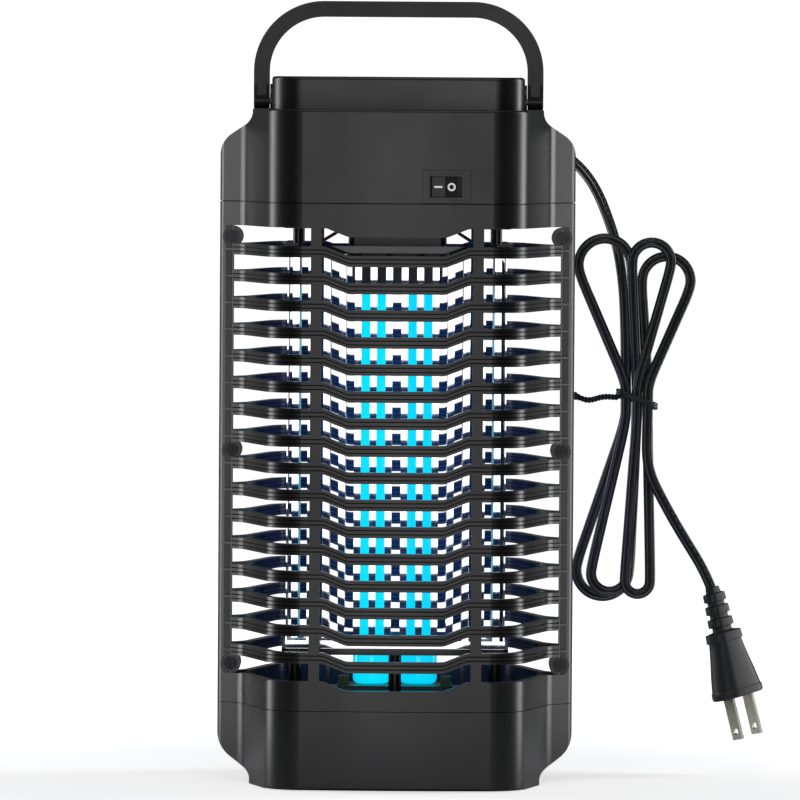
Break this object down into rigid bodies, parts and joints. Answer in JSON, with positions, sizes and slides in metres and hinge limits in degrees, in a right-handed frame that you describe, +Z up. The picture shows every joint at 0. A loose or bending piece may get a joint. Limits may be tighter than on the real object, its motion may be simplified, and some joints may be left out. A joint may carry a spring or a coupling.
{
  "type": "electric bug zapper",
  "caption": "Upright electric insect killer with a ribbed guard, ultraviolet tube lamp in an electrode cage, pull-down tray, folding handle and a mains lead.",
  "frame": {"origin": "on the surface it stands on, under the middle of the housing; the lead, its tied bundle and the plug don't count", "axes": "+Z up, -Y the front with the switch, +X to the right seen from the front"},
  "size_m": [0.2609, 0.193, 0.3664],
  "materials": {
    "housing_plastic": "satin black moulded plastic",
    "tray_plastic": "satin black moulded plastic",
    "handle_plastic": "satin black moulded plastic",
    "switch_plastic": "glossy black",
    "mark_paint": "white print",
    "steel": "zinc plated",
    "grid_steel": "bright plated strip",
    "black_screw": "black screw",
    "holder_plastic": "glossy black",
    "lamp_glass": "lit ultraviolet tube",
    "lamp_cap": "lamp cap",
    "board_green": "solder mask",
    "winding": "taped coil",
    "capacitor_blue": "sleeve",
    "component_dark": "epoxy",
    "component_tan": "ceramic",
    "brass": "plain",
    "wire_red": "insulation",
    "lead_vinyl": "vinyl",
    "plug_vinyl": "moulded vinyl"
  },
  "bodies": {
    "housing": {"top_cover": "housing_plastic", "front_grille": "housing_plastic", "rear_grille": "housing_plastic", "partition_plate": "housing_plastic", "chamber_floor": "housing_plastic", "handle_pins": "steel", "grille_screws": "black_screw", "cover_screws": "steel", "board_screws": "steel", "cage_top_holder": "holder_plastic", "cage_bottom_holder": "holder_plastic", "cage_rods": "steel", "live_front": "grid_steel", "live_right": "grid_steel", "live_rear": "grid_steel", "live_left": "grid_steel", "return_front": "grid_steel", "return_right": "grid_steel", "return_rear": "grid_steel", "return_left": "grid_steel", "lamp_holder": "holder_plastic", "lamp_base": "lamp_cap", "lamp_pins": "brass", "lamp_tubes": "lamp_glass", "lamp_foot_board": "board_green", "circuit_board": "board_green", "transformer": "winding", "capacitors": "capacitor_blue", "diodes": "component_dark", "resistors": "component_tan", "fuse": "component_tan", "switch_bezel": "housing_plastic", "switch_body": "switch_plastic", "switch_terminals": "brass", "live_wire": "wire_red", "return_wire": "lead_vinyl", "lamp_wires": "wire_red", "mains_wires": "lead_vinyl", "cord_gland": "lead_vinyl", "cord_lead": "lead_vinyl", "cord_hank": "lead_vinyl", "cord_plug_lead": "lead_vinyl", "cord_tie": "lead_vinyl", "plug_body": "plug_vinyl", "plug_blades": "brass"},
    "tray": {"collection_tray": "tray_plastic"},
    "handle": {"carry_handle": "handle_plastic"},
    "rocker": {"switch_rocker": "switch_plastic", "switch_marks": "mark_paint"}
  },
  "joints": [
    {"name": "handle_fold", "type": "hinge", "parent": "housing", "child": "handle", "pos_m": [0, 0, 0.3194], "axis": [1, 0, 0], "range_deg": [-72, 72]},
    {"name": "tray_pull", "type": "slide", "parent": "housing", "child": "tray", "axis": [0, 0, -1], "range_m": [0, 0.045]},
    {"name": "switch_press", "type": "hinge", "parent": "housing", "child": "rocker", "pos_m": [0.0223, -0.0663, 0.2803], "axis": [0, 0, 1], "range_deg": [0, 16]}
  ]
}
